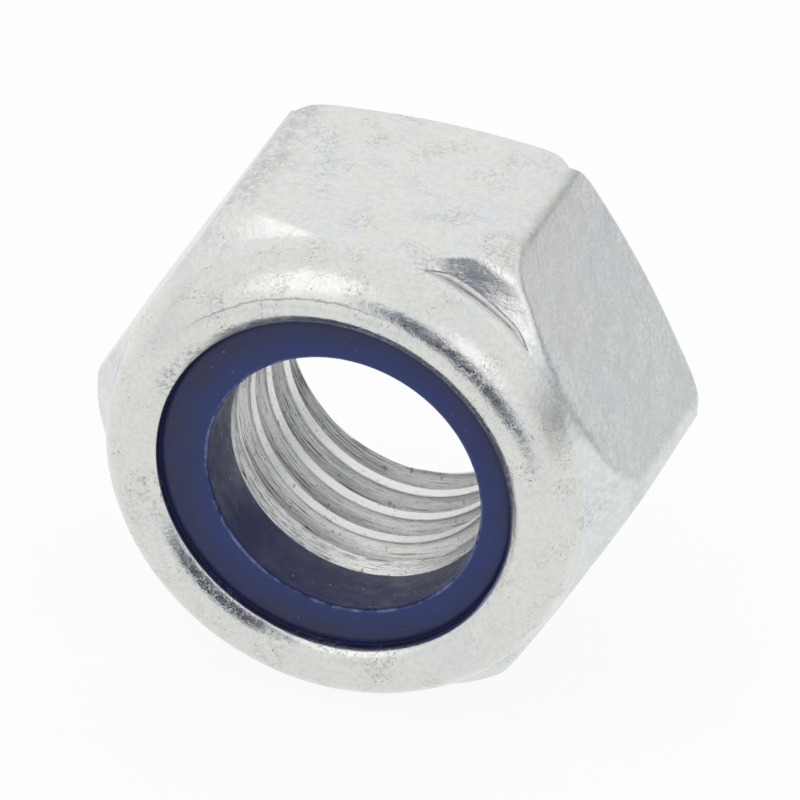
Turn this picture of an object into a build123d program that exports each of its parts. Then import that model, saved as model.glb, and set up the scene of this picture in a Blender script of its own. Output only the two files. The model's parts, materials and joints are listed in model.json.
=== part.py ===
"""Nylon insert lock nut, thin type, M12 coarse thread, lying on one of its flats.

Frame: the origin is the centre of the bearing face. The thread axis is Y, the insert
end points to -Y, +Z is up and two hexagon corners lie on the X axis. Millimetres.
"""
import os
from math import radians, sqrt, tan

from build123d import *

# ---- thread and hexagon ----
thread_major = 12.0
thread_pitch = 1.75
thread_bore_allowance = 0.294    # the tapped bore's diameter above the basic minor one
across_flats = 19.0
corner_edge_radius = 1.0         # long corner edges left round by the forging die
nut_height = 11.9                # bearing face to the crown of the crimped rim
insert_depth = 3.35              # crown to the floor of the insert recess

# ---- bearing end ----
bearing_face_margin = 0.5        # the bearing face ends this far inside the flats
bearing_chamfer_angle = 21.0     # measured from the bearing face
corner_tip_radius = 0.9          # rounding of the corner tips at this end
countersink_angle = 90.0         # included angle at both ends of the thread
countersink_margin = 0.5         # its edge lies this far outside the thread's major radius
inner_countersink_margin = 0.15  # the same at the insert recess

# ---- collar and crimp ----
collar_foot_step = 0.05          # the collar starts this far inside the flats
collar_foot_drop = 2.4           # where it leaves the corner shoulders, below the crown
collar_taper = 0.25              # radius lost between its foot and its top
collar_top_drop = 0.95           # below the crown
collar_wall = 1.2                # thickness at the top, around the ring
shoulder_angle = 40.0            # fall of the corner shoulders from the collar foot
shoulder_tip_radius = 2.8        # rounding of the corner tips at this end
bend_width = 0.65                # collar's top to the crease around the rim
rim_edge_drop = 0.14             # the crease lies below the crown
lip_overhang = 1.05              # reach of the crimped lip over the ring
lip_drop = 0.2                   # lip edge below the crown
lip_edge_radius = 0.15

# ---- nylon ring ----
ring_grip = 1.25                 # the bore is this much narrower than the bolt's thread
ring_height = 2.65
ring_shoulder_radius = 0.8       # outer corner shaped by the crimp
ring_bore_edge_radius = 0.12

# ---- derived sizes ----
major_radius = thread_major / 2
basic_flank_height = 5 / 8 * sqrt(3) / 2 * thread_pitch
minor_radius = major_radius - basic_flank_height + thread_bore_allowance / 2
flat_radius = across_flats / 2
corner_radius = 2 * flat_radius / sqrt(3) - corner_edge_radius * (2 / sqrt(3) - 1)
thread_height = nut_height - insert_depth
ring_face_height = thread_height + ring_height
ring_bore_radius = (thread_major - ring_grip) / 2
countersink_slope = tan(radians(countersink_angle / 2))
countersink_radius = major_radius + countersink_margin
countersink_depth = (countersink_radius - minor_radius) / countersink_slope
inner_countersink_radius = major_radius + inner_countersink_margin
inner_countersink_depth = (inner_countersink_radius - minor_radius) / countersink_slope
collar_foot_radius = flat_radius - collar_foot_step
collar_foot_height = nut_height - collar_foot_drop
collar_top_radius = collar_foot_radius - collar_taper
collar_top_height = nut_height - collar_top_drop
ring_radius = collar_top_radius - collar_wall
lip_radius = ring_radius - lip_overhang
lip_top = nut_height - lip_drop
rim_edge_radius = collar_top_radius - bend_width
rim_edge_height = nut_height - rim_edge_drop
rim_crown_radius = (rim_edge_radius + lip_radius) / 2
bearing_radius = flat_radius - bearing_face_margin

# ---- barrel: the turned envelope that trims the hexagon's ends ----
chamfer_slope = tan(radians(bearing_chamfer_angle))
shoulder_slope = tan(radians(shoulder_angle))
chamfer_end = (corner_radius - bearing_radius) * chamfer_slope
shoulder_end = collar_foot_height - (corner_radius - collar_foot_radius) * shoulder_slope

# section plane: local x is the radius, local y the height from the bearing face
section = Plane(origin=(0, 0, 0), x_dir=(1, 0, 0), z_dir=(0, 0, -1))

with BuildPart() as nut_body:
    with BuildSketch(Plane.XZ) as hexagon:
        RegularPolygon(flat_radius, 6, major_radius=False)
    extrude(amount=nut_height)
    fillet(nut_body.edges().filter_by(Axis.Y), corner_edge_radius)

    # barrel with chamfered bearing end, corner shoulders, tapered collar and bent rim
    with BuildSketch(section) as barrel:
        with BuildLine() as barrel_line:
            face = Line((0, 0), (bearing_radius, 0))
            chamfer_line = Line(face @ 1, (corner_radius, chamfer_end))
            side = Line(chamfer_line @ 1, (corner_radius, shoulder_end))
            shoulder = Line(side @ 1, (collar_foot_radius, collar_foot_height))
            collar = Line(shoulder @ 1, (collar_top_radius, collar_top_height))
            bend = TangentArc(
                collar @ 1,
                (rim_edge_radius, rim_edge_height),
                tangent=collar % 1,
            )
            rim = ThreePointArc(
                bend @ 1,
                (rim_crown_radius, nut_height),
                (lip_radius, lip_top),
            )
            crown = Line(rim @ 1, (0, lip_top))
            Line(crown @ 1, face @ 0)
        make_face()
        tips = barrel.vertices().group_by(Axis.X)[-1].sort_by(Axis.Y)
        fillet(tips[0], corner_tip_radius)
        shoulder_tip = barrel.vertices().sort_by_distance((corner_radius, shoulder_end))
        fillet(shoulder_tip[0], shoulder_tip_radius)
    revolve(axis=Axis.Y, mode=Mode.INTERSECT)

    # thread bore at the minor diameter, opened by a countersink at each end
    with BuildSketch(section) as bore:
        with BuildLine():
            Polyline(
                (0, 0),
                (countersink_radius, 0),
                (minor_radius, countersink_depth),
                (minor_radius, thread_height - inner_countersink_depth),
                (inner_countersink_radius, thread_height),
                (0, thread_height),
                close=True,
            )
        make_face()
    revolve(axis=Axis.Y, mode=Mode.SUBTRACT)

    # recess that holds the ring, closed by the crimped lip
    with BuildSketch(section) as recess:
        with BuildLine():
            floor = Line((0, thread_height), (ring_radius, thread_height))
            wall = Line(floor @ 1, (ring_radius, ring_face_height - ring_shoulder_radius))
            turn = TangentArc(
                wall @ 1,
                (ring_radius - ring_shoulder_radius, ring_face_height),
                tangent=wall % 1,
            )
            under = Line(turn @ 1, (lip_radius, ring_face_height))
            edge = Line(under @ 1, (lip_radius, nut_height))
            mouth = Line(edge @ 1, (0, nut_height))
            Line(mouth @ 1, floor @ 0)
        make_face()
    revolve(axis=Axis.Y, mode=Mode.SUBTRACT)
    lip_edges = nut_body.edges().filter_by(GeomType.CIRCLE).filter_by(
        lambda e: abs(e.radius - lip_radius) < 0.01 and e.center().Y < -ring_face_height - 0.1
    )
    fillet(lip_edges, lip_edge_radius)

with BuildPart() as nylon_ring:
    with BuildSketch(section) as ring_section:
        with BuildLine():
            seat = Line((ring_bore_radius, thread_height), (ring_radius, thread_height))
            back = Line(seat @ 1, (ring_radius, ring_face_height - ring_shoulder_radius))
            bent = TangentArc(
                back @ 1,
                (ring_radius - ring_shoulder_radius, ring_face_height),
                tangent=back % 1,
            )
            front = Line(bent @ 1, (ring_bore_radius, ring_face_height))
            Line(front @ 1, seat @ 0)
        make_face()
        bore_corner = ring_section.vertices().group_by(Axis.X)[0].sort_by(Axis.Y)
        fillet(bore_corner, ring_bore_edge_radius)
    revolve(axis=Axis.Y)

nut_body.part.label = "nut_body"
nylon_ring.part.label = "nylon_ring"

os.makedirs("parts", exist_ok=True)
export_step(nut_body.part, "parts/nut_body.step")
export_step(nylon_ring.part, "parts/nylon_ring.step")
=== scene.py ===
"""Looks of the nylon insert lock nut: the detailed nut, its ring, their finish and the studio.

Lengths are in millimetres in the CAD's frame until a mesh is written: the thread axis is Y,
the bearing face lies in the plane y = 0, the insert end points to -Y and the nut rests on a
flat. A profile point is (radius, height), with the height measured from the bearing face.
"""

import json
import math

import bpy
import numpy as np
from mathutils import Matrix, Vector


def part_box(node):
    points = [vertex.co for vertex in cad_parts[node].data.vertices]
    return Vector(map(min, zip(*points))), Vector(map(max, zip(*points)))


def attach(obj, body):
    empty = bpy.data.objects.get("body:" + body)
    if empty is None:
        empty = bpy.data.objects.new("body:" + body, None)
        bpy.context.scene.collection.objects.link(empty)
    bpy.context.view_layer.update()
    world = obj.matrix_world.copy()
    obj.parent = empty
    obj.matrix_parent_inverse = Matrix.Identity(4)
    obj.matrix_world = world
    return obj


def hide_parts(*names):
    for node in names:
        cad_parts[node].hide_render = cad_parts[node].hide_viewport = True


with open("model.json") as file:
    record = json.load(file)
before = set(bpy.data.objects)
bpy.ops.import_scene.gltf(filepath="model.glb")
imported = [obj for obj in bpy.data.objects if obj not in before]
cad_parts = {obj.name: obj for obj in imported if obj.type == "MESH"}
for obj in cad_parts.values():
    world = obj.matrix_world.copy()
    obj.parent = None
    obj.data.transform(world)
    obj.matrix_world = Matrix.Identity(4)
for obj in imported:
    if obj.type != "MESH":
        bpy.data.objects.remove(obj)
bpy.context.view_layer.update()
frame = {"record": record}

MM = 0.001

# ---- sizes read from the frame ----
mounts = {m["name"]: m for m in frame["record"]["mounts"]}
body_low, body_high = (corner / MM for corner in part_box("nut_body"))
ring_low, ring_high = (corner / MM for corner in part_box("nylon_ring"))
FLAT_RADIUS = body_high.z
CORNER_RADIUS = body_high.x
NUT_HEIGHT = -body_low.y
MINOR_RADIUS = mounts["thread"]["dims"]["r_mm"]
RING_BORE_RADIUS = mounts["insert_bore"]["dims"]["r_mm"]
RING_RADIUS = ring_high.x
THREAD_HEIGHT = -ring_high.y
RING_FACE = -ring_low.y

# ---- form of the nut, as in the CAD ----
CORNER_EDGE_RADIUS = 1.0
BEARING_RADIUS = FLAT_RADIUS - 0.5
CHAMFER_ANGLE = math.radians(21.0)
CHAMFER_TIP_RADIUS = 0.9
COLLAR_FOOT_RADIUS = FLAT_RADIUS - 0.05
COLLAR_FOOT = NUT_HEIGHT - 2.4
SHOULDER_ANGLE = math.radians(40.0)
SHOULDER_TIP_RADIUS = 2.8
LIP_RADIUS = RING_RADIUS - 1.05
RING_SHOULDER_RADIUS = 0.8
RING_EDGE_RADIUS = 0.12

# ---- thread, which the CAD leaves as a plain bore ----
THREAD_PITCH = 1.75
MAJOR_RADIUS = 6.0
COUNTERSINK_RADIUS = MAJOR_RADIUS + 0.5
INNER_COUNTERSINK_RADIUS = MAJOR_RADIUS + 0.15
CREST_HEIGHT = 3.22              # middle of a crest on the +X side
CREST_HALF_WIDTH = 0.3
CREST_ROUNDING = 0.07
ROWS_PER_PITCH = 28
THREAD_LIT_SIDE = math.radians(-45.0)    # painted light: the thread's streaks are painted lighter towards this side, where light falls

# ---- small forms that the CAD leaves out ----
FINE_EDGE = 0.16                 # softening of the edge between the chamfer and the side
SHOULDER_DEPTH = 1.3             # the worn line starts this far below the shoulder's edge
WORN_ROUNDS = 26                 # how much the edges of the shoulders are worn
SHARP_ROUNDS = 3                 # the same, on the one shoulder that the tool pressed flat
SHARP_CORNER = math.radians(58.5)
SHARP_REACH, SHARP_FADE = 0.17, 0.14       # radians around it, and how fast it ends
FACET_ANGLE, FACET_TWIST = math.radians(37.0), math.radians(9.0)
FACET_TURN = math.radians(63.0)            # below this angle the facet leans away
FACET_TURN_REACH = math.radians(14.0)
FACET_FOOT, FACET_END = COLLAR_FOOT - 0.13, 10.45
GROOVE_DEPTH, GROOVE_WIDTH = 0.12, 0.1     # tool mark along the foot of that facet
LEDGE_WIDTH = 0.4                # the groove is shallower where the ledge is narrower
FOOT_STEP = 0.02                 # between neighbouring points at the collar's foot
CONTACT_GAP = 0.1                # furrow between the lip and the ring
BORE_ASIDE = 0.32                # the ring's bore was moulded this far off its middle

# ---- crimped collar: (radius, height) that its soft line is pulled towards ----
COLLAR_START = 0.55              # share of the way from the wall back to the collar's foot
EVEN_CRIMP = [(9.33, 10.2), (9.2, 11.0), (8.6, 11.76), (7.75, 11.93)]
HARD_CRIMP = [(9.24, 10.2), (8.77, 11.22), (8.06, 11.8), (7.65, 11.92)]
HARD_SIDE = math.radians(85.0)   # the tool bore harder on this side
HARD_BASE, HARD_GAIN = 0.2, 1.2  # share of HARD_CRIMP: base + gain * cosine from that side
WORN_LIP = [(7.45, 11.84), (7.0, 11.5), (6.95, 11.42)]
FOLDED_LIP = [(7.4, 11.86), (7.14, 11.74), (6.95, 11.48)]
FOLDED_SIDE = math.radians(290.0)
FOLDED_BASE, FOLDED_GAIN = -3.75, 5.0
CREASE_SHADE_RADIUS = 8.12               # radius of the painted shade, a fine dark line that ends the crease
CREASE_SHADE_SIDE = math.radians(106.0)

# ---- mesh density ----
CORNER_STEPS = 6                 # columns over half a rounded corner edge
FLAT_STEPS = 14                  # columns over half a flat
CHAMFER_STEPS = 9
SHOULDER_STEPS = 24
SIDE_STEPS = 34                  # rows from the side over the shoulder to the collar
ARC_STEPS = 4
CURVE_STEPS = 8
SPARE_PITCHES = 3                # rows past both ends of the thread, pressed onto its ends
WELD_DECIMALS = 4                # points that agree to this are one
SHARP_EDGE_ANGLE = math.radians(40.0)

# ---- depths of the finish, in mm ----
DENT_DEPTH = 0.03
PIT_DEPTH = 0.012
GRAIN_DEPTH, GRAIN_WORN_OFF = 0.0035, 0.0015
WRINKLE_DEPTH = 0.01
STREAK_DEPTH = 0.014
NYLON_WAVE_DEPTH, NYLON_GRAIN_DEPTH = 0.06, 0.005

# ---- colours, in linear light; the stops are (share, colour) ----
FORGED_TINTS = [
    (0.30, (0.70, 0.73, 0.76)),
    (0.45, (0.755, 0.76, 0.755)),
    (0.55, (0.765, 0.76, 0.73)),
    (0.70, (0.755, 0.735, 0.75)),
]
RIM_TINTS = [
    (0.30, (0.69, 0.71, 0.71)),
    (0.50, (0.715, 0.725, 0.69)),
    (0.70, (0.74, 0.74, 0.70)),
]
CLOUD_GREY = (0.42, 0.43, 0.42)
WRINKLE_GREY = (0.33, 0.33, 0.33)
SPECK_GREY = (0.17, 0.17, 0.165)
COOL_ZINC = (0.735, 0.775, 0.785)          # towards +X
CRACKLE_GREY = (0.42, 0.45, 0.47)
RUBBED_GREY = (0.36, 0.365, 0.36)
# painted shade and painted reflection of the blue ring, put on the lip
LIP_SHADE_AND_REFLECTION = (0.2, 0.2, 0.3)
# painted shade: the colour of the dark line along the crease
CREASE_PAINTED_SHADE = (0.2, 0.2, 0.22)
CREST_TINTS = [(0.35, (0.68, 0.69, 0.68)), (0.6, (0.90, 0.905, 0.90))]
STREAK_TINTS = [
    (0.39, (0.10, 0.105, 0.095)),
    (0.46, (0.68, 0.69, 0.65)),
    (0.57, (0.97, 0.98, 0.96)),
]
# painted light: lighter streak tints for the side of the thread where light falls
LIT_STREAK_TINTS = [
    (0.38, (0.30, 0.29, 0.25)),
    (0.45, (0.95, 0.95, 0.91)),
    (0.57, (1.0, 1.0, 0.99)),
]
THREAD_SPOT = (0.16, 0.14, 0.11)
NYLON_OUTSIDE = (0.022, 0.027, 0.078)
NYLON_INSIDE = (0.018, 0.032, 0.132)
NYLON_BORE = (0.011, 0.016, 0.085)
NYLON_RUBBED = (0.13, 0.18, 0.36)
NYLON_FLECK = (0.42, 0.46, 0.55)
FLOOR_GREY = (0.85, 0.85, 0.85, 1)
WHITE = (1, 1, 1, 1)

# ---- camera, at the photograph's viewing angle ----
CAMERA_AZIMUTH = math.radians(18.74)
CAMERA_ELEVATION = math.radians(32.12)
CAMERA_ROLL = math.radians(1.88)
CAMERA_DISTANCE = 570.0
PIXELS_PER_MM = 26.57            # at the origin
ORIGIN_PIXEL = (436.36, 335.41)
IMAGE_PIXELS = 800
SENSOR_WIDTH = 36.0

# ---- studio: a light tent; places in it are parts of a unit vector ----
ZENITH_LIGHT, BELOW_LIGHT = 0.98, 0.8
HORIZON = (-0.1, 0.3)            # heights between which the light rises
TENT_TINT = (0.99, 1.0, 1.01)
CLEAR_ABOVE = (0.1, 0.3)         # heights between which the metal begins to see plain white
BAND_LIGHT = 0.4                 # darker band above the horizon, where the tent's walls meet
BAND_FOOT = (-0.08, 0.08)        # heights between which it begins
BAND_HEAD = (0.2, 0.4)           # heights between which it ends
BAND_FROM_LEFT, BAND_FROM_FRONT = (-0.1, 0.35), (-0.2, 0.3)
GAP_LIGHT = 0.04                 # the dark slit in the tent that the camera looks through
GAP_TINT = (0.5, 0.65, 1.4)
GAP_SLANT = math.radians(42.0)
GAP_CENTRE = 0.17                # along the slit, from the camera
GAP_HALF_LENGTH = 0.56
GAP_HALF_WIDTH = 0.155
GAP_EDGE = (0.7, 1.3)            # squares of the distance at which its soft edge lies
SOFTBOX = {"place": (-210, -170, 355), "size": 370, "watts": 0.13}
SMALL_SOFTBOX = {"place": (290, -190, 285), "size": 210, "watts": 0.04}
FLOOR_REACH = 600.0
FLOOR_GLOW = 0.9                 # share of plain white that the floor shows to the camera


# ---------------------------------------------------------------- profiles
def point(radius, height):
    return np.array([radius, height], float)


def clamped(share):
    return min(max(share, 0.0), 1.0)


def blended(pulls, other_pulls, share):
    """Points at this share of the way from one list to the other."""
    return [point(*a) + (point(*b) - point(*a)) * share for a, b in zip(pulls, other_pulls)]


def corner_edge_angle():
    """Half of the angle that a rounded corner edge takes, seen from the axis."""
    half = math.pi / 6
    edge_centre = (FLAT_RADIUS - CORNER_EDGE_RADIUS) / math.cos(half)
    along = edge_centre + CORNER_EDGE_RADIUS * math.cos(half)
    return math.atan2(CORNER_EDGE_RADIUS * math.sin(half), along)


def hexagon_radius(angle):
    """Distance from the axis to the hexagon's side at this angle from +X."""
    half = math.pi / 6
    off = abs((angle + half) % (2 * half) - half)
    if off >= corner_edge_angle():
        return FLAT_RADIUS / math.cos(half - off)
    edge_centre = (FLAT_RADIUS - CORNER_EDGE_RADIUS) / math.cos(half)
    across = edge_centre * math.sin(off)
    return edge_centre * math.cos(off) + math.sqrt(CORNER_EDGE_RADIUS**2 - across**2)


def column_angles():
    """Angles of the mesh columns, closest together around the corner edges."""
    half = math.pi / 6
    edge = corner_edge_angle()
    rounded = np.linspace(0, edge, CORNER_STEPS + 1)[:-1]
    flat = edge + (half - edge) * np.linspace(0, 1, FLAT_STEPS + 1) ** 1.3
    side = np.concatenate([rounded, flat])
    sector = np.concatenate([side, 2 * half - side[-2:0:-1]])
    turns = [sector + 2 * half * k for k in range(6)]
    return np.append(np.concatenate(turns), 2 * math.pi)


def arc_at(before, corner, after, radius):
    """Points of the rounded corner between two straight stretches."""
    u, v = before - corner, after - corner
    room = 0.45 * min(np.linalg.norm(u), np.linalg.norm(v))
    u, v = u / np.linalg.norm(u), v / np.linalg.norm(v)
    half = math.acos(max(-1.0, min(1.0, float(u @ v)))) / 2
    reach = min(radius / math.tan(half), room)
    radius = reach * math.tan(half)
    centre = corner + (u + v) / np.linalg.norm(u + v) * radius / math.sin(half)
    start, end = corner + u * reach - centre, corner + v * reach - centre
    sweep = math.pi - 2 * half
    share = np.linspace(0, 1, ARC_STEPS + 1)
    return [
        centre + (math.sin((1 - t) * sweep) * start + math.sin(t * sweep) * end) / math.sin(sweep)
        for t in share
    ]


def curve(start, knee, end):
    """A soft bend from start to end, whose tangents meet at the knee."""
    share = np.linspace(0, 1, CURVE_STEPS + 1)
    return [(1 - t) ** 2 * start + 2 * t * (1 - t) * knee + t**2 * end for t in share]


def stretch(start, end, steps, margin=0.12):
    """Points between start and end, with one close to each, which keeps flats flat."""
    near = min(margin / np.linalg.norm(end - start), 0.2)
    return [start + (end - start) * t for t in np.linspace(near, 1 - near, steps)]


def chamfer_height(radius):
    """Bearing end of the turned envelope: a cone with rounded tips."""
    tip_end = (CORNER_RADIUS - BEARING_RADIUS) * math.tan(CHAMFER_ANGLE)
    reach = CHAMFER_TIP_RADIUS * math.tan((math.pi / 2 - CHAMFER_ANGLE) / 2)
    centre = point(CORNER_RADIUS - CHAMFER_TIP_RADIUS, tip_end + reach)
    off = radius - centre[0]
    if off > CHAMFER_TIP_RADIUS * math.sin(CHAMFER_ANGLE):
        return centre[1] - math.sqrt(max(CHAMFER_TIP_RADIUS**2 - off**2, 0))
    return (radius - BEARING_RADIUS) * math.tan(CHAMFER_ANGLE)


def shoulder_height(radius):
    """Insert end of the turned envelope, out from the collar's foot, with rounded tips."""
    fall = math.tan(SHOULDER_ANGLE)
    tip_end = COLLAR_FOOT - (CORNER_RADIUS - COLLAR_FOOT_RADIUS) * fall
    reach = SHOULDER_TIP_RADIUS * math.tan((math.pi / 2 - SHOULDER_ANGLE) / 2)
    centre = point(CORNER_RADIUS - SHOULDER_TIP_RADIUS, tip_end - reach)
    off = radius - centre[0]
    if off > SHOULDER_TIP_RADIUS * math.sin(SHOULDER_ANGLE):
        return centre[1] + math.sqrt(max(SHOULDER_TIP_RADIUS**2 - off**2, 0))
    return COLLAR_FOOT - (radius - COLLAR_FOOT_RADIUS) * fall


def evenly(line, count):
    """Points at even distances along a line."""
    line = np.array(line)
    run = np.append(0, np.cumsum(np.linalg.norm(np.diff(line, axis=0), axis=1)))
    places = np.linspace(0, run[-1], count)
    return np.column_stack([np.interp(places, run, line[:, k]) for k in (0, 1)])


def softened(line, rounds):
    """The line after its bends have been worn down; its ends stay."""
    line = np.array(line)
    for _ in range(rounds):
        line[1:-1] = (line[:-2] + 2 * line[1:-1] + line[2:]) / 4
    return line


def faceted_height(radius, angle):
    """The shoulder where the tool pressed it flat, down to the dome further out."""
    share = clamped((radius - FACET_END) / (CORNER_RADIUS - FACET_END))
    twist = clamped((FACET_TURN - angle) / FACET_TURN_REACH)
    fall = math.tan(FACET_ANGLE + FACET_TWIST * twist)
    inner = FACET_FOOT - (min(radius, FACET_END) - COLLAR_FOOT_RADIUS) * fall
    rise = inner - shoulder_height(min(radius, FACET_END))
    return shoulder_height(radius) + rise * (1 - share) ** 2


def side_points(angle):
    """Chamfer, flat or corner edge, and the shoulder up to the collar."""
    side = hexagon_radius(angle)
    face = point(BEARING_RADIUS, 0)
    chamfer = [
        point(r, chamfer_height(r)) for r in np.linspace(BEARING_RADIUS, side, CHAMFER_STEPS)
    ]
    top_of_flat = point(side, shoulder_height(side) - SHOULDER_DEPTH)
    off = abs((angle - SHARP_CORNER + math.pi) % (2 * math.pi) - math.pi)
    worn = clamped((off - SHARP_REACH) / SHARP_FADE)
    sharp = pressed_shoulder(side, angle, top_of_flat)
    path = sharp + (worn_shoulder(side, top_of_flat) - sharp) * worn
    low = arc_at(chamfer[-3], chamfer[-1], top_of_flat, FINE_EDGE)
    return [face] + chamfer[1:-3] + low + stretch(low[-1], path[0], steps=4) + list(path)


def worn_shoulder(side, start):
    """The rounded shoulder of the CAD with its edges worn."""
    radii = np.linspace(side, COLLAR_FOOT_RADIUS + FOOT_STEP, SHOULDER_STEPS)
    rounded = [point(r, shoulder_height(r)) for r in radii]
    foot = point(COLLAR_FOOT_RADIUS, COLLAR_FOOT)
    return softened(evenly([start] + rounded + [foot, collar_start()], SIDE_STEPS), WORN_ROUNDS)


def pressed_shoulder(side, angle, start):
    """The shoulder that the tool pressed flat, and the groove along the collar's foot."""
    ledge = min((side - COLLAR_FOOT_RADIUS) / LEDGE_WIDTH, 1.0)
    radii = np.linspace(side, COLLAR_FOOT_RADIUS + 0.5 * GROOVE_WIDTH * ledge, SHOULDER_STEPS)
    pressed = [point(r, faceted_height(r, angle)) for r in radii]
    bottom = point(COLLAR_FOOT_RADIUS - GROOVE_DEPTH * ledge, FACET_FOOT - FOOT_STEP)
    line = softened(evenly([start] + pressed, SIDE_STEPS - 2), SHARP_ROUNDS)
    return np.vstack([line, bottom, collar_start()])


def collar_start():
    """Where the shoulder ends and the collar's soft line begins."""
    foot = point(COLLAR_FOOT_RADIUS, COLLAR_FOOT)
    return point(*EVEN_CRIMP[0]) * (1 - COLLAR_START) + COLLAR_START * foot


def soft_line(pulls):
    """Smooth line that touches the middle of each stretch between the points that pull it."""
    middles = [(a + b) / 2 for a, b in zip(pulls, pulls[1:])]
    line = [pulls[0]]
    for start, knee, end in zip(middles, pulls[1:], middles[1:]):
        line += curve(start, knee, end)[:-1]
    return line + [middles[-1], pulls[-1]]


def rim_points(angle):
    """Tapered collar, bent wall, crowned rim and the lip down to the ring's face."""
    hard = clamped(HARD_BASE + HARD_GAIN * math.cos(angle - HARD_SIDE))
    hard = hard * hard * (3 - 2 * hard)
    folded = clamped(FOLDED_BASE + FOLDED_GAIN * math.cos(angle - FOLDED_SIDE))
    crimp = blended(EVEN_CRIMP, HARD_CRIMP, hard)
    lip = blended(WORN_LIP, FOLDED_LIP, folded)
    return soft_line([collar_start()] + crimp + lip + [point(LIP_RADIUS, RING_FACE)])[1:]


def seat_points():
    """The recess behind the lip, which the ring fills."""
    turn = arc_at(
        point(LIP_RADIUS, RING_FACE),
        point(RING_RADIUS, RING_FACE),
        point(RING_RADIUS, THREAD_HEIGHT),
        RING_SHOULDER_RADIUS,
    )
    return turn + [point(RING_RADIUS, THREAD_HEIGHT)]


def thread_radius(height, angle):
    """Radius of the right-hand internal thread at one place, countersinks left out."""
    turns = (height - CREST_HEIGHT) / THREAD_PITCH - angle / (2 * math.pi)
    off = abs((turns + 0.5) % 1.0 - 0.5) * THREAD_PITCH
    rise = (off - CREST_HALF_WIDTH) * math.sqrt(3)
    if abs(off - CREST_HALF_WIDTH) < CREST_ROUNDING:
        over = off - CREST_HALF_WIDTH + CREST_ROUNDING
        rise = math.sqrt(3) * over**2 / (4 * CREST_ROUNDING)
    return MINOR_RADIUS + min(max(rise, 0.0), MAJOR_RADIUS - MINOR_RADIUS)


def bore_points(angle):
    """Thread from the ring's seat down to the bearing face; its rows follow the helix."""
    pitches = math.ceil(THREAD_HEIGHT / THREAD_PITCH) + SPARE_PITCHES
    first = CREST_HEIGHT + THREAD_PITCH * (angle / (2 * math.pi) - SPARE_PITCHES)
    points = []
    for row in range(ROWS_PER_PITCH * pitches):
        height = first + THREAD_PITCH * row / ROWS_PER_PITCH
        height = min(max(height, 0.0), THREAD_HEIGHT)
        cone = COUNTERSINK_RADIUS - height
        inner_cone = INNER_COUNTERSINK_RADIUS - (THREAD_HEIGHT - height)
        points.append(point(max(thread_radius(height, angle), cone, inner_cone), height))
    return points[::-1]


# ---------------------------------------------------------------- meshes
def swept_mesh(name, columns, angles, materials, zone_of_row):
    """Closed mesh from columns of profile points, one column for each angle."""
    rows = len(columns[0])
    verts = []
    for angle, column in zip(angles, columns):
        for radius, height in column:
            verts.append((radius * math.cos(angle), -height, radius * math.sin(angle)))
    verts, joined = weld(verts)
    faces, zones = [], []
    for c in range(len(angles) - 1):
        for r in range(rows):
            n = (r + 1) % rows
            a, b = c * rows, (c + 1) * rows
            loop = [joined[k] for k in (a + r, b + r, b + n, a + n)]
            loop = [v for i, v in enumerate(loop) if v != loop[i - 1]]
            if len(set(loop)) > 2:
                faces.append(loop)
                zones.append(zone_of_row[r])
    mesh = bpy.data.meshes.new(name)
    mesh.from_pydata([Vector(v) * MM for v in verts], [], faces)
    for material in materials:
        mesh.materials.append(material)
    mesh.polygons.foreach_set("material_index", zones)
    mesh.polygons.foreach_set("use_smooth", [True] * len(mesh.polygons))
    mesh.set_sharp_from_angle(angle=SHARP_EDGE_ANGLE)
    obj = bpy.data.objects.new(name, mesh)
    bpy.context.scene.collection.objects.link(obj)
    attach(obj, "root")
    return obj


def weld(verts):
    """The distinct points, and for each given point the index of its distinct one."""
    seen, kept, joined = {}, [], []
    for v in verts:
        key = tuple(round(float(x), WELD_DECIMALS) + 0.0 for x in v)
        if key not in seen:
            seen[key] = len(kept)
            kept.append(tuple(float(x) for x in v))
        joined.append(seen[key])
    return kept, joined


def build_nut():
    """The steel nut in one closed mesh, with a finish for its outside, rim and thread."""
    angles = column_angles()
    seat = seat_points()
    columns, zones = [], []
    for angle in angles:
        parts = [side_points(angle), rim_points(angle), seat, bore_points(angle)]
        columns.append([p for part in parts for p in part])
        zones = np.repeat([0, 1, 1, 2], [len(part) for part in parts]).tolist()
    finishes = [zinc_forged(), zinc_rim(), zinc_thread()]
    nut = swept_mesh("lock_nut", columns, angles, finishes, zones)
    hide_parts("nut_body")


def ring_column(angle):
    """Section of the ring: outer wall, shoulder, furrow under the lip, face, edge and bore."""
    bore = RING_BORE_RADIUS + BORE_ASIDE * math.cos(angle)
    inner_front, inner_back = point(bore, RING_FACE), point(bore, THREAD_HEIGHT)
    outer_front = point(RING_RADIUS, RING_FACE)
    outer_back = point(RING_RADIUS, THREAD_HEIGHT)
    column = [outer_back]
    column += arc_at(outer_back, outer_front, inner_front, RING_SHOULDER_RADIUS)
    face = arc_at(outer_front, inner_front, inner_back, RING_EDGE_RADIUS)
    furrow = [
        point(LIP_RADIUS, RING_FACE),
        point(LIP_RADIUS - 0.4 * CONTACT_GAP, RING_FACE - CONTACT_GAP),
        point(LIP_RADIUS - 1.6 * CONTACT_GAP, RING_FACE - 0.15 * CONTACT_GAP),
    ]
    column += furrow + stretch(furrow[-1], face[0], steps=6) + face
    column += stretch(face[-1], inner_back, steps=4)
    return column + arc_at(inner_front, inner_back, outer_back, RING_EDGE_RADIUS)


def build_ring():
    """The nylon ring, seated in the recess under the lip."""
    angles = column_angles()
    columns = [ring_column(angle) for angle in angles]
    ring = swept_mesh("insert_ring", columns, angles, [nylon()], [0] * len(columns[0]))
    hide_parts("nylon_ring")


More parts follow.
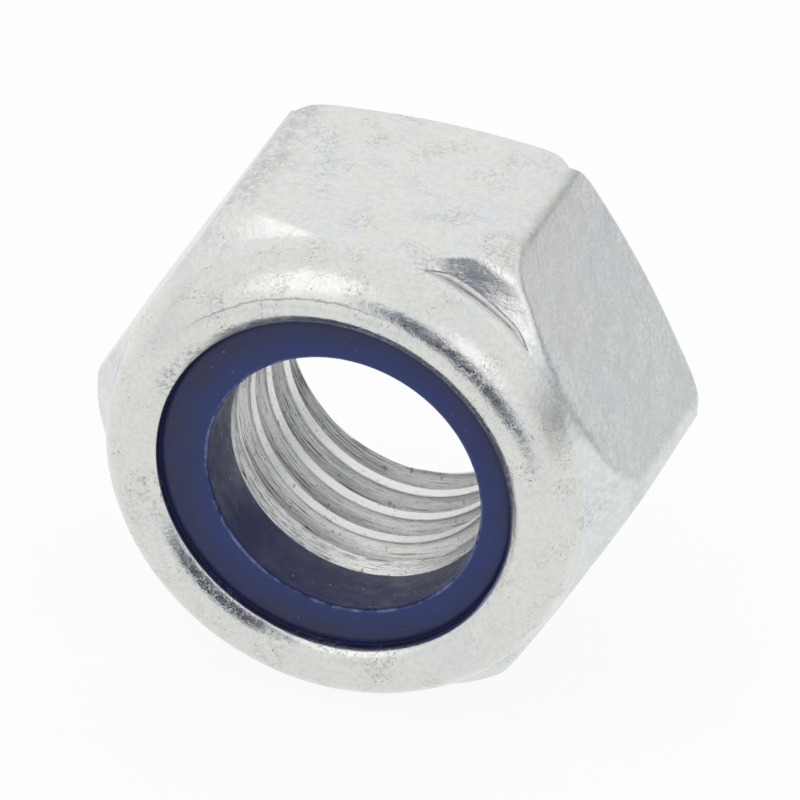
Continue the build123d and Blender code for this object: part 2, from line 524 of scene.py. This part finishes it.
# ---------------------------------------------------------------- node helpers
class Nodes:
    """A node tree whose nodes are made in one line each."""

    def __init__(self, tree, place):
        self.tree = tree
        self.place = self.node("ShaderNodeTexCoord").outputs[place]

    def node(self, kind, **inputs):
        made = self.tree.nodes.new(kind)
        for name, value in inputs.items():
            self.feed(made.inputs[name.replace("_", " ")], value)
        return made

    def feed(self, socket, value):
        if isinstance(value, bpy.types.NodeSocket):
            self.tree.links.new(value, socket)
        else:
            socket.default_value = value

    def math(self, operation, a, b=0.0, c=0.0):
        made = self.tree.nodes.new("ShaderNodeMath")
        made.operation = operation
        for socket, value in zip(made.inputs, (a, b, c)):
            self.feed(socket, value)
        return made.outputs[0]

    def noise(self, per_mm, detail=3.0, roughness=0.5, distortion=0.0, at=None):
        return self.node(
            "ShaderNodeTexNoise",
            Vector=self.place if at is None else at,
            Scale=per_mm / MM,
            Detail=detail,
            Roughness=roughness,
            Distortion=distortion,
        ).outputs["Fac"]

    def cells(self, per_mm):
        made = self.node("ShaderNodeTexVoronoi", Vector=self.place, Scale=per_mm / MM)
        return made.outputs["Distance"]

    def ramp(self, value, stops):
        made = self.node("ShaderNodeValToRGB", Fac=value)
        elements = made.color_ramp.elements
        while len(elements) < len(stops):
            elements.new(1.0)
        for element, (position, colour) in zip(elements, stops):
            element.position = position
            element.color = (*colour, 1)
        return made.outputs["Color"]

    def fade(self, value, low, high, start=0.0, end=1.0):
        """value taken from low..high to start..end, smoothly and no further."""
        made = self.node("ShaderNodeMapRange", Value=value)
        made.interpolation_type = "SMOOTHSTEP"
        names = ("From Min", "From Max", "To Min", "To Max")
        for name, number in zip(names, (low, high, start, end)):
            self.feed(made.inputs[name], number)
        return made.outputs["Result"]

    def mix(self, share, a, b):
        made = self.tree.nodes.new("ShaderNodeMix")
        made.data_type = "RGBA"
        for socket, value in zip((made.inputs[0], made.inputs[6], made.inputs[7]), (share, a, b)):
            if isinstance(value, tuple):
                value = (*value, 1)
            self.feed(socket, value)
        return made.outputs[2]

    def bump(self, height, depth_mm, under=None):
        made = self.node("ShaderNodeBump", Height=height, Strength=1.0, Distance=depth_mm * MM)
        if under is not None:
            self.feed(made.inputs["Normal"], under)
        return made.outputs["Normal"]

    def around_axis(self, aside=0.0):
        """(angle, radius, position along it) around an axis that lies aside along X, in mm."""
        split = self.node("ShaderNodeSeparateXYZ", Vector=self.place)
        x, y, z = split.outputs
        x = self.math("SUBTRACT", x, aside * MM)
        square = self.math("ADD", self.math("MULTIPLY", x, x), self.math("MULTIPLY", z, z))
        return self.math("ARCTAN2", z, x), self.math("POWER", square, 0.5), y

    def vector(self, x, y, z):
        return self.node("ShaderNodeCombineXYZ", X=x, Y=y, Z=z).outputs[0]

    def along(self, direction):
        """How far the place lies along a direction."""
        made = self.tree.nodes.new("ShaderNodeVectorMath")
        made.operation = "DOT_PRODUCT"
        self.feed(made.inputs[0], self.place)
        made.inputs[1].default_value = direction
        return made.outputs["Value"]


class Shader(Nodes):
    """A material and its Principled shader."""

    def __init__(self, name):
        self.material = bpy.data.materials.new(name)
        self.material.use_nodes = True
        super().__init__(self.material.node_tree, "Object")
        self.surface = self.tree.nodes["Principled BSDF"]

    def set(self, **inputs):
        for name, value in inputs.items():
            self.feed(self.surface.inputs[name.replace("_", " ")], value)


# ---------------------------------------------------------------- finishes
def zinc_base(name, tints, wear):
    """Zinc plating: clouded tint, wrinkles, small pits and dark specks. wear is 0 to 1."""
    s = Shader(name)
    colour = s.ramp(s.noise(0.35, detail=4, roughness=0.6, distortion=0.6), tints)
    fine = s.noise(5.0, detail=6, roughness=0.75)
    colour = s.mix(s.fade(fine, 0.38, 0.68, 0.0, 0.26), colour, CLOUD_GREY)
    patch = s.fade(s.noise(0.8, detail=5, roughness=0.7), 0.46, 0.62)
    thin = s.math("ABSOLUTE", s.math("SUBTRACT", s.noise(1.6, detail=5, roughness=0.7), 0.5))
    wrinkle = s.math("MULTIPLY", s.fade(thin, 0.0, 0.012, 1.0, 0.0), patch)
    colour = s.mix(s.math("MULTIPLY", wrinkle, 0.55 - 0.2 * wear), colour, WRINKLE_GREY)
    speck = s.fade(s.noise(8.0, detail=3, roughness=0.7), 0.60 - 0.03 * wear, 0.68)
    dark = s.math("MULTIPLY", speck, patch)
    colour = s.mix(s.math("MULTIPLY", dark, 0.5 + 0.3 * wear), colour, SPECK_GREY)
    dents = s.bump(s.noise(0.8, detail=3, roughness=0.5), DENT_DEPTH)
    pits = s.bump(s.noise(4.0, detail=5, roughness=0.65), PIT_DEPTH, dents)
    grain_depth = GRAIN_DEPTH - GRAIN_WORN_OFF * wear
    grain = s.bump(s.noise(16.0, detail=4, roughness=0.65), grain_depth, pits)
    normal = s.bump(s.math("SUBTRACT", 1.0, wrinkle), WRINKLE_DEPTH, grain)
    return s, colour, normal


def zinc_forged():
    """Flats, corner edges and shoulders: cooler and crackled to the right, rubbed corners."""
    s, colour, normal = zinc_base("zinc_forged", FORGED_TINTS, 0.0)
    right = s.along((1, 0, 0))
    cool = s.fade(right, 5 * MM, 9 * MM, 0.0, 0.7)
    colour = s.mix(cool, colour, COOL_ZINC)
    crackle = s.fade(s.cells(3.4), 0.30, 0.62, 0.0, 0.2)
    colour = s.mix(s.math("MULTIPLY", cool, crackle), colour, CRACKLE_GREY)
    _, radius, _ = s.around_axis()
    corner = s.fade(radius, 10.3 * MM, 10.75 * MM, 0.0, 0.5)
    corner = s.math("MULTIPLY", corner, s.fade(right, -4 * MM, 0.0, 1.0, 0.2))
    rubbed = s.fade(s.noise(3.0, detail=5, roughness=0.75), 0.40, 0.60)
    colour = s.mix(s.math("MULTIPLY", corner, rubbed), colour, RUBBED_GREY)
    s.set(Base_Color=colour, Metallic=0.95, Normal=normal)
    front = s.fade(s.along((0, -1, 0)), 8.0 * MM, 8.7 * MM, 1.0, 0.6)
    rough = s.fade(s.noise(1.1, detail=4), 0.35, 0.65, 0.2, 0.34)
    s.set(Roughness=s.math("MULTIPLY", rough, front))
    return s.material


def zinc_rim():
    """Collar and rim, worked by the crimping tool, with painted shade and a painted reflection of
    the ring on the lip, and a painted shade line in the crease.
    """
    s, colour, normal = zinc_base("zinc_rim", RIM_TINTS, 1.0)
    turn, radius, _ = s.around_axis()
    # painted shade and reflection of the ring: the lip's wall and edge are darkened, further out
    # on one side
    shaded = s.fade(s.math("COSINE", s.math("SUBTRACT", turn, 0.6)), -0.3, 0.5, 0.0, 0.1 * MM)
    over = s.math("SUBTRACT", radius, shaded)
    lip_shade = s.fade(over, (LIP_RADIUS + 0.01) * MM, (LIP_RADIUS + 0.06) * MM, 1.0, 0.0)
    colour = s.mix(lip_shade, colour, LIP_SHADE_AND_REFLECTION)
    # painted shade: a fine dark line along the crease, on one side of the rim
    wobble = s.fade(s.noise(1.5, detail=5, roughness=0.7), 0.2, 0.8, -0.07 * MM, 0.07 * MM)
    off = s.math("ABSOLUTE", s.math("SUBTRACT", s.math("ADD", radius, wobble), CREASE_SHADE_RADIUS * MM))
    line = s.fade(off, 0.01 * MM, 0.05 * MM, 0.55, 0.0)
    reach = s.math("COSINE", s.math("SUBTRACT", turn, CREASE_SHADE_SIDE))
    line = s.math("MULTIPLY", line, s.fade(reach, 0.84, 0.96))
    colour = s.mix(line, colour, CREASE_PAINTED_SHADE)
    s.set(Base_Color=colour, Metallic=0.95, Normal=normal)
    s.set(Roughness=s.fade(s.noise(1.3, detail=4), 0.35, 0.65, 0.05, 0.18))
    return s.material


def zinc_thread():
    """Tapped bore: the tap's streaks follow the helix, the crests are bright, and the streaks are
    painted lighter towards one side as painted light.
    """
    s = Shader("zinc_thread")
    turn, radius, along = s.around_axis()
    slide = s.math("MULTIPLY", turn, THREAD_PITCH * MM / (2 * math.pi))
    level = s.math("ADD", along, slide)
    lane = s.vector(s.math("MULTIPLY", turn, 0.00012), radius, level)
    streak = s.noise(20.0, detail=5, roughness=0.8, at=lane)
    broad = s.noise(2.4, detail=3, roughness=0.6, at=lane)
    groove = s.fade(radius, (MINOR_RADIUS + 0.04) * MM, (MINOR_RADIUS + 0.2) * MM)
    bright = s.ramp(streak, CREST_TINTS)
    # painted light: towards that side the streaks turn lighter
    lit_side = s.math("COSINE", s.math("SUBTRACT", turn, THREAD_LIT_SIDE))
    dull = s.ramp(streak, STREAK_TINTS)
    dull = s.mix(s.fade(lit_side, 0.35, 0.95), dull, s.ramp(streak, LIT_STREAK_TINTS))
    entry = s.fade(along, -0.95 * MM, -0.75 * MM, 1.0, 0.0)
    colour = s.mix(s.math("MULTIPLY", groove, entry), bright, dull)
    spot = s.fade(s.noise(4.0, detail=3, roughness=0.7), 0.60, 0.70)
    colour = s.mix(s.math("MULTIPLY", spot, 0.6), colour, THREAD_SPOT)
    ridges = s.bump(streak, STREAK_DEPTH)
    s.set(Base_Color=colour, Metallic=0.95, Normal=s.bump(broad, DENT_DEPTH, ridges))
    s.set(Roughness=s.fade(streak, 0.3, 0.7, 0.22, 0.4))
    return s.material


def nylon():
    """Moulded polyamide: bluer towards the bore, rubbed pale along the bore's front edge."""
    s = Shader("blue_nylon")
    _, radius, along = s.around_axis(BORE_ASIDE)
    inwards = s.fade(radius, (RING_BORE_RADIUS + 0.1) * MM, (LIP_RADIUS - 0.1) * MM, 1.0, 0.0)
    uneven = s.math("ADD", inwards, s.fade(s.noise(0.6, detail=3), 0.3, 0.7, -0.25, 0.25))
    colour = s.mix(uneven, NYLON_OUTSIDE, NYLON_INSIDE)
    depth = s.math("SUBTRACT", radius, RING_BORE_RADIUS * MM)
    inside = s.fade(depth, 0.01 * MM, 0.1 * MM, 1.0, 0.0)
    colour = s.mix(inside, colour, NYLON_BORE)
    edge = s.fade(depth, 0.06 * MM, 0.14 * MM, 1.0, 0.0)
    front = s.fade(along, -(RING_FACE - 0.11) * MM, -(RING_FACE - 0.03) * MM, 1.0, 0.0)
    front = s.math("SUBTRACT", 1.0, front)
    wear = s.fade(s.noise(1.1, detail=6, roughness=0.8), 0.42, 0.62)
    rubbed = s.math("MULTIPLY", s.math("MULTIPLY", edge, front), wear)
    colour = s.mix(rubbed, colour, NYLON_RUBBED)
    fleck = s.fade(s.noise(5.0, detail=1), 0.77, 0.8)
    colour = s.mix(s.math("MULTIPLY", fleck, 0.6), colour, NYLON_FLECK)
    waves = s.bump(s.noise(0.9, detail=4), NYLON_WAVE_DEPTH)
    s.set(Base_Color=colour, Normal=s.bump(s.noise(9.0, detail=4), NYLON_GRAIN_DEPTH, waves))
    s.set(Roughness=s.fade(s.noise(2.0, detail=4), 0.35, 0.65, 0.26, 0.4))
    s.set(Specular_IOR_Level=0.3)
    return s.material


# ---------------------------------------------------------------- studio
def camera_direction():
    """Unit vector from the nut to the camera."""
    level = math.cos(CAMERA_ELEVATION)
    return Vector((math.sin(CAMERA_AZIMUTH) * level, -math.cos(CAMERA_AZIMUTH) * level,
                   math.sin(CAMERA_ELEVATION)))


def area_light(name, place, size, watts):
    """A round soft lamp that points at the nut."""
    data = bpy.data.lights.new(name, "AREA")
    data.shape = "DISK"
    data.size = size * MM
    data.energy = watts
    lamp = bpy.data.objects.new(name, data)
    lamp.location = Vector(place) * MM
    lamp.rotation_mode = "QUATERNION"
    lamp.rotation_quaternion = (-lamp.location).to_track_quat("-Z", "Y")
    bpy.context.scene.collection.objects.link(lamp)


def build_floor():
    """A pale floor under the nut that keeps its shadow and looks nearly white."""
    reach, level = FLOOR_REACH * MM, body_low.z * MM
    corners = [(-reach, -reach), (reach, -reach), (reach, reach), (-reach, reach)]
    mesh = bpy.data.meshes.new("floor")
    mesh.from_pydata([(x, y, level) for x, y in corners], [], [(0, 1, 2, 3)])
    floor = bpy.data.objects.new("floor", mesh)
    bpy.context.scene.collection.objects.link(floor)
    s = Shader("pale_floor")
    s.set(Base_Color=FLOOR_GREY, Roughness=0.9)
    glow = s.node("ShaderNodeEmission", Color=WHITE, Strength=1.0)
    path = s.node("ShaderNodeLightPath").outputs
    seen = s.math("MAXIMUM", path["Is Camera Ray"], path["Is Glossy Ray"])
    seen = s.math("MAXIMUM", seen, path["Is Transmission Ray"])
    share = s.math("MULTIPLY", seen, FLOOR_GLOW)
    mixed = s.node("ShaderNodeMixShader", Fac=share)
    s.tree.links.new(s.surface.outputs[0], mixed.inputs[1])
    s.tree.links.new(glow.outputs[0], mixed.inputs[2])
    s.tree.links.new(mixed.outputs[0], s.tree.nodes["Material Output"].inputs["Surface"])
    mesh.materials.append(s.material)


def back_band(n, up):
    """1 in the darker band at the back right, 0 elsewhere."""
    right, back = n.along((1, 0, 0)), n.along((0, 1, 0))
    level = n.math("MULTIPLY", n.fade(up, *BAND_FOOT), n.fade(up, *BAND_HEAD, 1.0, 0.0))
    side = n.math("MULTIPLY", n.fade(right, *BAND_FROM_LEFT), n.fade(back, *BAND_FROM_FRONT))
    return n.math("MULTIPLY", level, side)


def camera_gap(n):
    """1 in the slanted slit around the camera's direction, 0 elsewhere."""
    view = camera_direction()
    level = Vector((0, 0, 1)).cross(view).normalized()
    upright = view.cross(level)
    down_slit = level * math.cos(GAP_SLANT) - upright * math.sin(GAP_SLANT)
    length = n.math("SUBTRACT", n.along(down_slit), GAP_CENTRE)
    length = n.math("DIVIDE", length, GAP_HALF_LENGTH)
    width = n.math("DIVIDE", n.along(view.cross(down_slit)), GAP_HALF_WIDTH)
    off = n.math("ADD", n.math("MULTIPLY", length, length), n.math("MULTIPLY", width, width))
    return n.math("MULTIPLY", n.fade(off, *GAP_EDGE, 1.0, 0.0), n.fade(n.along(view), 0.0, 0.1))


def build_world():
    """A light tent: bright above, a darker band at the back right, and the camera's gap.

    The camera sees it as plain white, and so does the metal where the tent isn't darkened.
    """
    world = bpy.data.worlds.new("studio")
    bpy.context.scene.world = world
    world.use_nodes = True
    n = Nodes(world.node_tree, "Generated")
    up = n.along((0, 0, 1))
    gap, band = camera_gap(n), back_band(n, up)
    tent = n.fade(up, *HORIZON, BELOW_LIGHT, ZENITH_LIGHT)
    dimmed = n.math("MULTIPLY", band, 1.0 - BAND_LIGHT)
    tent = n.math("MULTIPLY", tent, n.math("SUBTRACT", 1.0, dimmed))
    tent = n.math("ADD", n.math("MULTIPLY", tent, n.math("SUBTRACT", 1.0, gap)), GAP_LIGHT)

    soft = n.tree.nodes["Background"]
    n.feed(soft.inputs["Color"], n.mix(gap, TENT_TINT, GAP_TINT))
    n.feed(soft.inputs["Strength"], tent)
    white = n.node("ShaderNodeBackground", Color=WHITE)
    undimmed = n.fade(n.math("MAXIMUM", band, gap), 0.0, 0.05, 1.0, 0.0)
    clear = n.math("MULTIPLY", undimmed, n.fade(up, *CLEAR_ABOVE))
    path = n.node("ShaderNodeLightPath").outputs
    mirrored = n.math("MAXIMUM", path["Is Glossy Ray"], path["Is Transmission Ray"])
    mirrored = n.math("MULTIPLY", mirrored, clear)
    mixed = n.node(
        "ShaderNodeMixShader", Fac=n.math("MAXIMUM", path["Is Camera Ray"], mirrored)
    )
    n.feed(mixed.inputs[1], soft.outputs[0])
    n.feed(mixed.inputs[2], white.outputs[0])
    n.feed(n.tree.nodes["World Output"].inputs["Surface"], mixed.outputs[0])


def build_camera():
    """The photograph's camera: its angle, its distance and where the nut lies in its frame."""
    back = camera_direction()
    level = Vector((math.cos(CAMERA_AZIMUTH), math.sin(CAMERA_AZIMUTH), 0))
    upright = back.cross(level)
    right = level * math.cos(CAMERA_ROLL) + upright * math.sin(CAMERA_ROLL)
    up = upright * math.cos(CAMERA_ROLL) - level * math.sin(CAMERA_ROLL)
    half = IMAGE_PIXELS / 2
    aside = (ORIGIN_PIXEL[0] - half) / PIXELS_PER_MM
    above = (half - ORIGIN_PIXEL[1]) / PIXELS_PER_MM
    place = back * CAMERA_DISTANCE - right * aside - up * above
    data = bpy.data.cameras.new("camera")
    data.sensor_width = SENSOR_WIDTH
    data.lens = PIXELS_PER_MM * CAMERA_DISTANCE * SENSOR_WIDTH / IMAGE_PIXELS
    data.clip_start, data.clip_end = 0.01, 10.0
    camera = bpy.data.objects.new("camera", data)
    turn = Matrix((right, up, back)).transposed()
    camera.matrix_world = Matrix.Translation(place * MM) @ turn.to_4x4()
    bpy.context.scene.collection.objects.link(camera)
    bpy.context.scene.camera = camera


build_nut()
build_ring()
build_floor()
build_world()
area_light("softbox", **SOFTBOX)
area_light("small_softbox", **SMALL_SOFTBOX)
build_camera()
bpy.context.scene.view_settings.view_transform = "Standard"
